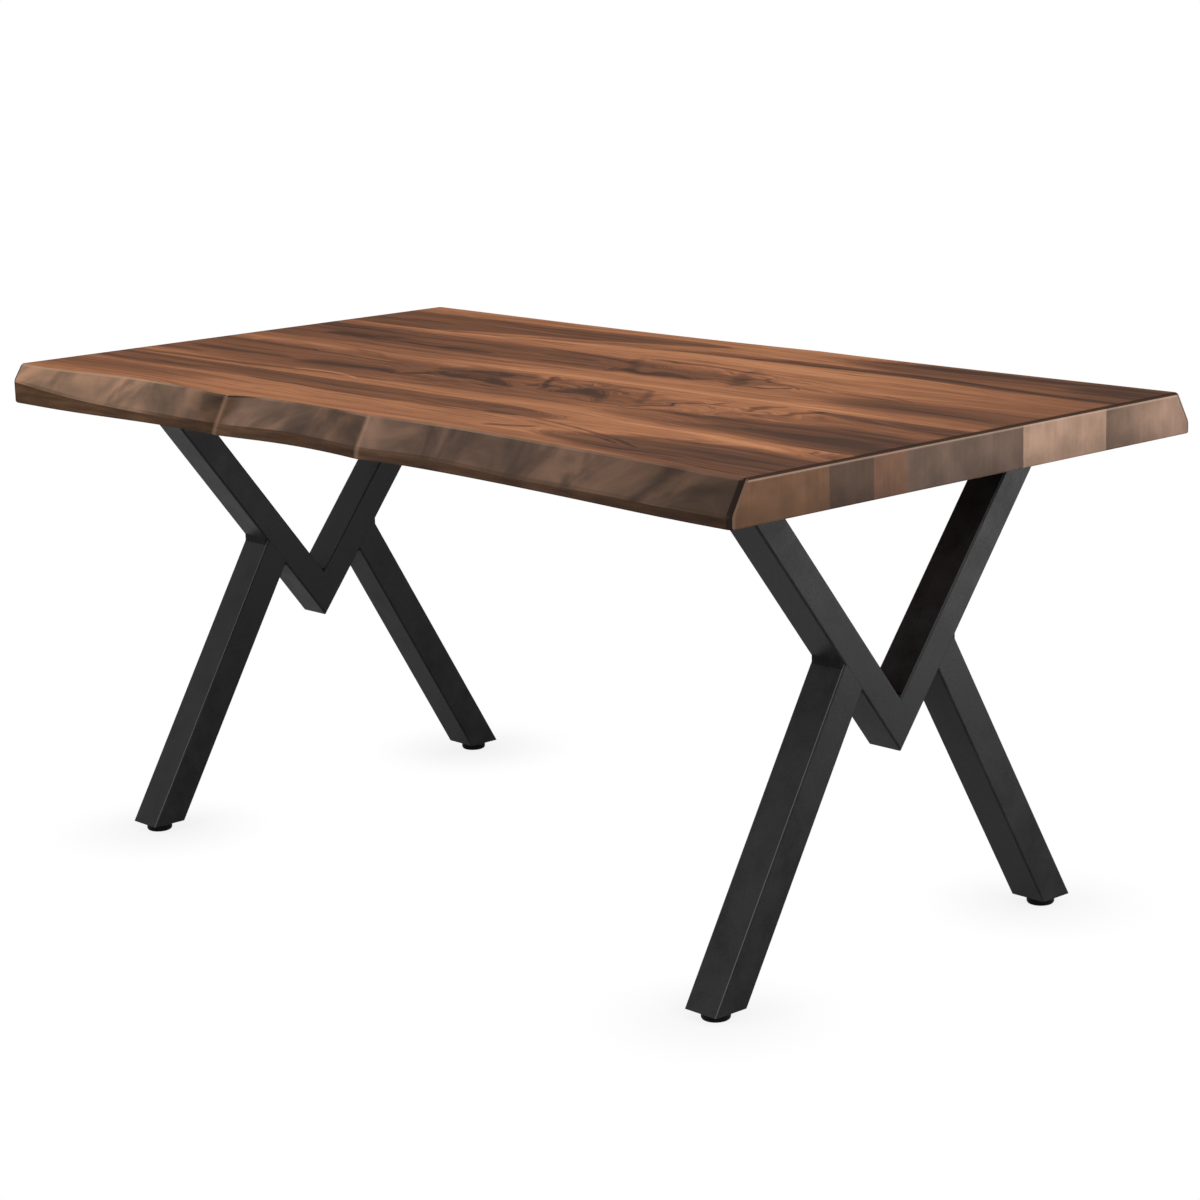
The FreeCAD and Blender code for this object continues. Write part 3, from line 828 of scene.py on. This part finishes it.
# %% [markdown]
# Powder coat
# The frames are sprayed with dry black paint and baked. The skin is satin: it mirrors its surroundings a
# little, which is why faces that look into the dark stay black and faces that look at a lamp turn grey. A
# fine orange-peel grain breaks every reflection up, and the arrises that look up get a painted highlight.
# A flat black would lose the faces of the tubes. Weld beads, plastic and zinc are made the same way with
# their own values: the beads' coat is darker as painted shade for the creases they fill, and a bead has
# ripples where each drop of metal set.

# %% The powder coat and the small parts' finishes
MOTTLE_STOPS = (0.25, 0.75)
MOTTLE_ROUGHNESS = (0.2, 0.8)
SKIN_BUMP_STRENGTH = 0.35
GLINT_FROM = (0.10, 0.30)
GLINT_TO = (0.64, 0.46)
GLINT_UPWARD = (0.10, 0.28)


def paint_arris_glint(wire, colour, level):
    """A painted highlight on the rounded arrises that look up, between a tube's outer side and its edge
    face.
    """
    face_x, _, face_z = wire.split(wire.node("ShaderNodeNewGeometry").outputs["Normal"])
    turned = wire.unsigned(face_x)
    arris = wire.times(wire.ease(turned, *GLINT_FROM), wire.ease(turned, *GLINT_TO))
    arris = wire.times(arris, wire.ease(face_z, *GLINT_UPWARD))
    return wire.blend(arris, colour, (level, level, level, 1.0))


def skin(name, base, rough, specular, grain_size, patch_size, tone_range, rough_range, bump_depth,
         metal=0.0, painted_glint=0.0, ripple=0.0):
    """A mottled finish, with the level of a painted highlight on the arrises that look up and the pitch of
    a weld's ripples.
    """
    material, wire, shader = new_material(name)
    place = wire.node("ShaderNodeTexCoord").outputs["Object"]
    sizes = {"Position": place, "Grain size": grain_size, "Patch size": patch_size}
    mottle = place_group(wire, "fine mottle", sizes)
    tones = [tuple(v * factor for v in base) for factor in (1 - tone_range, 1 + tone_range)]
    colour = wire.ramp(mottle["Tone"], list(zip(MOTTLE_STOPS, tones)))
    # Painted glint: paler paint on the arrises that look up.
    if painted_glint:
        colour = paint_arris_glint(wire, colour, painted_glint)
    wire.put(shader.inputs["Base Color"], colour)
    roughness = wire.ease(mottle["Tone"], *MOTTLE_ROUGHNESS, rough - rough_range, rough + rough_range)
    wire.put(shader.inputs["Roughness"], roughness)
    shader.inputs["Metallic"].default_value = metal
    shader.inputs["Specular IOR Level"].default_value = specular
    height = mottle["Height"]
    if ripple:
        along, _, _ = wire.split(place)
        height = wire.plus(height, wire.calc("SINE", wire.times(along, 2 * math.pi / ripple)))
    bump = wire.node("ShaderNodeBump", {"Height": height})
    bump.inputs["Strength"].default_value = SKIN_BUMP_STRENGTH
    bump.inputs["Distance"].default_value = bump_depth
    wire.put(shader.inputs["Normal"], bump.outputs["Normal"])
    return material


powder_coat = skin(
    "powder_coat", base=(0.0100, 0.0100, 0.0105), rough=0.38, specular=0.12, grain_size=0.0030,
    patch_size=0.050, tone_range=0.50, rough_range=0.08, bump_depth=0.00040, painted_glint=0.07,
)
# Painted shade: the weld beads fill the notches, crotches and knees, and their coat is darker than the
# powder coat so those creases look shaded.
weld_coat_painted_shade = skin(
    "weld_coat_painted_shade", base=(0.0045, 0.0045, 0.0048), rough=0.34, specular=0.05, grain_size=0.0030,
    patch_size=0.050, tone_range=0.50, rough_range=0.08, bump_depth=0.00040, ripple=0.004,
)
moulded_plastic = skin(
    "moulded_plastic", base=(0.004, 0.004, 0.004), rough=0.32, specular=0.06, grain_size=0.0006,
    patch_size=0.012, tone_range=0.25, rough_range=0.06, bump_depth=0.00008,
)
zinc_plate = skin(
    "zinc_plate", base=(0.55, 0.56, 0.58), rough=0.36, specular=0.5, grain_size=0.0005,
    patch_size=0.006, tone_range=0.15, rough_range=0.08, bump_depth=0.00004, metal=1.0,
)
for name in nodes:
    if name.endswith("leg_insert"):
        dress(name, moulded_plastic)
    elif name.endswith("plate_screws"):
        dress(name, zinc_plate)
    elif name.endswith(("weld_notches", "weld_crotch", "weld_knees")):
        dress(name, weld_coat_painted_shade)
    elif not name.startswith("top_board") and not name.endswith(("foot_pad", "foot_stem")):
        dress(name, powder_coat)
print("finishes:", [m.name for m in (powder_coat, weld_coat_painted_shade, moulded_plastic, zinc_plate)])

# %% [markdown]
# Broken edges on plates and screw heads
# No sheared plate and no forged screw head has a knife edge. A bevel modifier breaks every sharp edge by
# half a millimetre and leaves the frame's own mesh as it is. It could be modelled, but the eye only needs
# the glint.

# %% Bevels
broken_edge = 0.0005
bevel_segments = 2
sharp_edge_angle = math.radians(50)
for name in nodes:
    if name.endswith(("mounting_plate", "plate_screws")):
        bevel = nodes[name].modifiers.new("broken edge", "BEVEL")
        bevel.width = broken_edge
        bevel.segments = bevel_segments
        bevel.limit_method = "ANGLE"
        bevel.angle_limit = sharp_edge_angle
print("bevelled:", sum(bool(o.modifiers) for o in nodes.values()))

# %% [markdown]
# Pads of the levelling feet
# A foot stands on a moulded pad, round at both rims like a small tyre. The frame's plain cylinder could be
# bevelled, but a profile turned round its axis gives the pad its true section and a seat for the stem.

# %% Pads
FEET = [side + "_" + end for side in ("left", "right") for end in ("front", "back")]
crease_angle = math.radians(40)


def add_piece(name, mesh, place, material, body, node):
    """Set a new mesh in place of one node of the frame, riding on a body."""
    mesh.set_sharp_from_angle(angle=crease_angle)
    mesh.materials.append(material)
    piece = bpy.data.objects.new(name, mesh)
    piece.location = place
    bpy.context.scene.collection.objects.link(piece)
    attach(piece, body)
    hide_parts(node)


def arc(centre, radius, start, end, steps):
    """Points on a quarter round, as (distance from the axis, height)."""
    angles = [math.radians(start + (end - start) * i / steps) for i in range(steps + 1)]
    return [(centre[0] + radius * math.cos(a), centre[1] + radius * math.sin(a)) for a in angles]


def lathe(name, profile, steps):
    """A profile turned round the upright axis, closed at both ends."""
    verts = []
    for i in range(steps):
        angle = 2 * math.pi * i / steps
        verts += [(r * math.cos(angle), r * math.sin(angle), z) for r, z in profile]
    n = len(profile)
    faces = []
    for i in range(steps):
        a = i * n
        b = (i + 1) % steps * n
        faces += [(a + k, b + k, b + k + 1, a + k + 1) for k in range(n - 1)]
    faces.append([i * n for i in reversed(range(steps))])
    faces.append([i * n + n - 1 for i in range(steps)])
    mesh = bpy.data.meshes.new(name)
    mesh.from_pydata(verts, [], faces)
    return mesh


pad_round = 0.0045
pad_steps = 64
rim_steps = 6
stem_radius = 0.005
stem_play = 0.0001
pad_floor = 0.004
for foot in FEET:
    low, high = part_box(foot + "_foot_pad")
    radius = (high.x - low.x) / 2
    top = high.z
    inner = radius - pad_round
    profile = arc((inner, pad_round), pad_round, -90, 0, rim_steps)
    profile += arc((inner, top - pad_round), pad_round, 0, 90, rim_steps)
    profile += [(stem_radius + stem_play, top), (stem_radius + stem_play, pad_floor)]
    place = ((low.x + high.x) / 2, (low.y + high.y) / 2, low.z)
    mesh = lathe(foot + "_pad", profile, pad_steps)
    body = foot + "_pad"
    add_piece(foot + "_pad", mesh, place, moulded_plastic, body, foot + "_foot_pad")
print("pads:", len(FEET), "radius", round(radius, 4))

# %% [markdown]
# Threaded stems
# The pad turns on a steel stem with a rolled thread. The thread is a core with a ridge wound round it. A
# bump texture could stand for it, but would not show against the light when the foot is screwed out. The
# stem rides with the pad, so the thread turns as the foot travels.

# %% Threaded stems
thread_pitch = 0.0015
core_radius = 0.0042
core_segments = 32
thread_steps = 24
thread_sink = 0.0002
thread_half_root = 0.48
thread_half_crest = 0.08
thread_end_turns = 0.6


def threaded_stem(name, height):
    """A plain core with one closed ridge wound round it from end to end."""
    core = bmesh.new()
    bmesh.ops.create_cone(
        core, cap_ends=True, segments=core_segments, radius1=core_radius, radius2=core_radius, depth=height)
    bmesh.ops.translate(core, verts=core.verts, vec=(0, 0, height / 2))
    root = core_radius - thread_sink
    ridge = [
        (root, -thread_half_root),
        (stem_radius, -thread_half_crest),
        (stem_radius, thread_half_crest),
        (root, thread_half_root),
    ]
    count = int((height / thread_pitch - 2 * thread_end_turns) * thread_steps)
    rings = []
    for i in range(count + 1):
        angle = 2 * math.pi * i / thread_steps
        middle = thread_pitch * (thread_end_turns + i / thread_steps)
        ring = []
        for radius, share in ridge:
            point = (radius * math.cos(angle), radius * math.sin(angle), middle + thread_pitch * share)
            ring.append(core.verts.new(point))
        rings.append(ring)
    corners = len(ridge)
    for near, far in zip(rings, rings[1:]):
        for k in range(corners):
            after = (k + 1) % corners
            core.faces.new((near[k], far[k], far[after], near[after]))
    core.faces.new(rings[0])
    core.faces.new(rings[-1][::-1])
    bmesh.ops.recalc_face_normals(core, faces=core.faces)
    mesh = bpy.data.meshes.new(name)
    core.to_mesh(mesh)
    core.free()
    return mesh


for foot in FEET:
    low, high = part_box(foot + "_foot_stem")
    mesh = threaded_stem(foot + "_stem", high.z - low.z)
    place = ((low.x + high.x) / 2, (low.y + high.y) / 2, low.z)
    add_piece(foot + "_stem", mesh, place, zinc_plate, foot + "_pad", foot + "_foot_stem")
print("stems:", len(FEET), "pitch", thread_pitch)

# %% [markdown]
# The floor
# The floor is a wide white sheet. To the camera it is almost all plain white, with a share of real shading
# near the feet that keeps their soft shadows. In mirrored light it keeps most of its shade, or the paint
# would mirror a floor brighter than any real one. Seen from below it is clear, so that the underside of the
# table can be looked at. A plain white sheet under strong light could look the same, but the table would be
# too bright.

# %% Floor
floor_half = 60.0
floor_grey = (0.70, 0.70, 0.70, 1.0)
plain_white = (1.0, 1.0, 1.0, 1.0)
white_in_mirrors = 0.2
shadow_reach = (0.02, 0.20)
white_at_feet = 0.85
mesh = bpy.data.meshes.new("floor")
corners = [(-1, -1), (1, -1), (1, 1), (-1, 1)]
mesh.from_pydata([(x * floor_half, y * floor_half, 0) for x, y in corners], [], [(0, 1, 2, 3)])
floor = bpy.data.objects.new("floor", mesh)
bpy.context.scene.collection.objects.link(floor)
floor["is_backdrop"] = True
material = bpy.data.materials.new("white_floor")
material.use_nodes = True
material.node_tree.nodes.clear()
wire = Wiring(material.node_tree)
rays = wire.node("ShaderNodeLightPath").outputs
seen = wire.larger(rays["Is Camera Ray"], wire.times(rays["Is Glossy Ray"], white_in_mirrors))
seen = wire.larger(seen, rays["Is Transmission Ray"])
floor_x, floor_y, _ = wire.split(wire.node("ShaderNodeTexCoord").outputs["Object"])
foot_low, foot_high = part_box("right_back_foot_pad")
foot_middle = (foot_low + foot_high) / 2
from_foot_x = wire.minus(wire.unsigned(floor_x), foot_middle.x)
from_foot_y = wire.minus(wire.unsigned(floor_y), foot_middle.y)
from_foot = wire.node("ShaderNodeVectorMath", {0: wire.join(from_foot_x, from_foot_y)}, operation="LENGTH")
white_share = wire.ease(from_foot.outputs["Value"], *shadow_reach, white_at_feet, 1.0)
sheet = wire.node("ShaderNodeBsdfDiffuse", {"Color": floor_grey}).outputs["BSDF"]
white = wire.node("ShaderNodeEmission", {"Color": plain_white, "Strength": 1.0}).outputs["Emission"]
both = wire.node("ShaderNodeMixShader", {0: wire.times(seen, white_share), 1: sheet, 2: white})
from_below = wire.node("ShaderNodeNewGeometry").outputs["Backfacing"]
clear = wire.node("ShaderNodeBsdfTransparent").outputs["BSDF"]
both = wire.node("ShaderNodeMixShader", {0: from_below, 1: both.outputs["Shader"], 2: clear})
wire.node("ShaderNodeOutputMaterial", {"Surface": both.outputs["Shader"]})
mesh.materials.append(material)
print("floor:", floor_half * 2, "m wide")

# %% [markdown]
# The light
# A pale sky and four soft lamps light the table at a plain level, at which a colour shows about as it is
# written. The key lamp shines on the right end, the front lamp on the carved edge, and the one overhead on
# the top. The low one stands behind the right end for the paint to mirror. One lamp could light it all, but
# then the black tubes would show no faces.

# %% Sky and lamps
sky_level = 0.55
world = bpy.data.worlds.new("studio")
world.use_nodes = True
world.node_tree.nodes.clear()
wire = Wiring(world.node_tree)
rays = wire.node("ShaderNodeLightPath").outputs
seen = wire.larger(rays["Is Camera Ray"], rays["Is Glossy Ray"])
seen = wire.larger(seen, rays["Is Transmission Ray"])
level = wire.times_plus(seen, 1.0 - sky_level, sky_level)
sky = wire.node("ShaderNodeBackground", {"Color": plain_white, "Strength": level})
wire.node("ShaderNodeOutputWorld", {"Surface": sky.outputs["Background"]})
bpy.context.scene.world = world


def soft_lamp(name, place, aim, size, power):
    """A square lamp that faces its aim; size in metres, power in watts."""
    lamp = bpy.data.lights.new(name, "AREA")
    lamp.shape = "SQUARE"
    lamp.size = size
    lamp.energy = power
    holder = bpy.data.objects.new(name, lamp)
    holder.location = place
    holder.rotation_euler = (Vector(aim) - Vector(place)).to_track_quat("-Z", "Y").to_euler()
    bpy.context.scene.collection.objects.link(holder)


soft_lamp("key", place=(3.5, -0.6, 2.2), aim=(0.3, 0, 0.5), size=1.4, power=54)
soft_lamp("low", place=(1.95, 1.45, 0.32), aim=(0.62, 0.1, 0.5), size=0.8, power=12)
soft_lamp("front", place=(-0.6, -3.6, 1.6), aim=(0, 0, 0.45), size=1.6, power=60)
soft_lamp("over", place=(0.2, 0.2, 3.8), aim=(0, 0, 0.0), size=3.0, power=30)

# %% [markdown]
# Colours and size
# The colours are shown as they are written, and the last line prints the size of the dressed table, which
# can be set beside the size of the frame printed at the start.

bpy.context.scene.view_settings.view_transform = "Standard"
low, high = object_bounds()
print("visual size:", [round(v, 4) for v in high - low])
